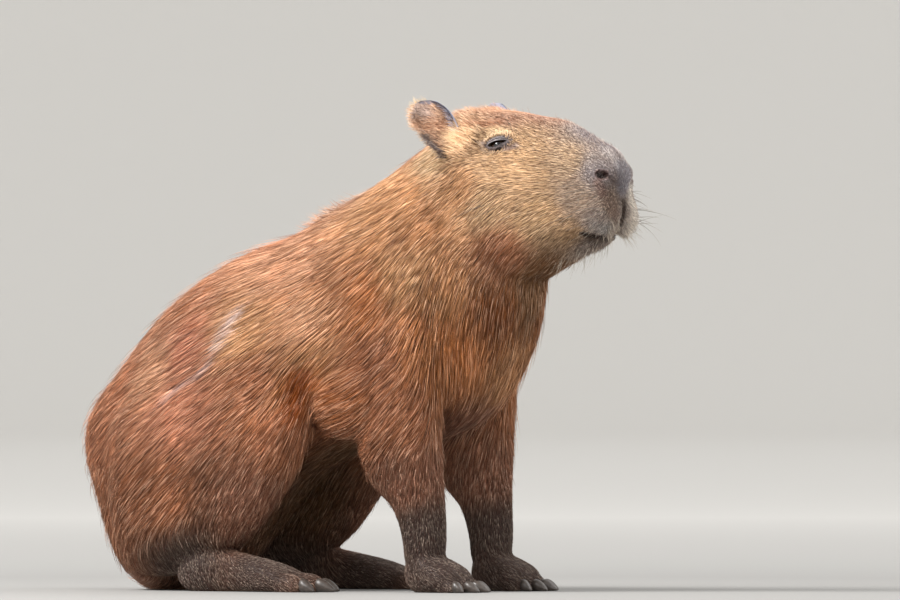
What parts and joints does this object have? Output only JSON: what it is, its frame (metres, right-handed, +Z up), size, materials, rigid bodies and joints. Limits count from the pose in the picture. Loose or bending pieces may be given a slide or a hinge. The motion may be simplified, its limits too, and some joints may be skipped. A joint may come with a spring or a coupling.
{
  "type": "capybara",
  "caption": "Life-size still capybara sitting on its haunches, forelegs straight and blunt head held level, with a coarse reddish coat.",
  "frame": {"origin": "centre of the bounding box at the level of the floor, on the animal's midline", "axes": "+X towards the nose, +Y towards the animal's left side, +Z up"},
  "size_m": [0.7104, 0.3312, 0.5733],
  "materials": {
    "coat_red": "coarse red-brown hair, matt with a faint sheen along the hairs",
    "coat_tawny": "coarse tawny hair, matt",
    "coat_face": "short grey-brown hair, matt",
    "coat_leg": "short dark hair, matt",
    "ear_skin": "bare grey skin with sparse hairs",
    "eye": "wet, glossy, near black",
    "claw": "dull dark horn"
  },
  "bodies": {
    "root": {"torso": "coat_red", "rump": "coat_red", "neck": "coat_tawny", "head": "coat_face", "lower_jaw": "coat_face", "ear_left": "ear_skin", "eye_left": "eye", "upper_arm_left": "coat_red", "forearm_left": "coat_leg", "forefoot_left": "coat_leg", "thigh_left": "coat_red", "shank_left": "coat_red", "hindfoot_left": "coat_leg", "fore_claw_left_1": "claw", "fore_claw_left_2": "claw", "fore_claw_left_3": "claw", "fore_claw_left_4": "claw", "hind_claw_left_1": "claw", "hind_claw_left_2": "claw", "hind_claw_left_3": "claw", "ear_right": "ear_skin", "eye_right": "eye", "upper_arm_right": "coat_red", "forearm_right": "coat_leg", "forefoot_right": "coat_leg", "thigh_right": "coat_red", "shank_right": "coat_red", "hindfoot_right": "coat_leg", "fore_claw_right_1": "claw", "fore_claw_right_2": "claw", "fore_claw_right_3": "claw", "fore_claw_right_4": "claw", "hind_claw_right_1": "claw", "hind_claw_right_2": "claw", "hind_claw_right_3": "claw"}
  },
  "joints": []
}
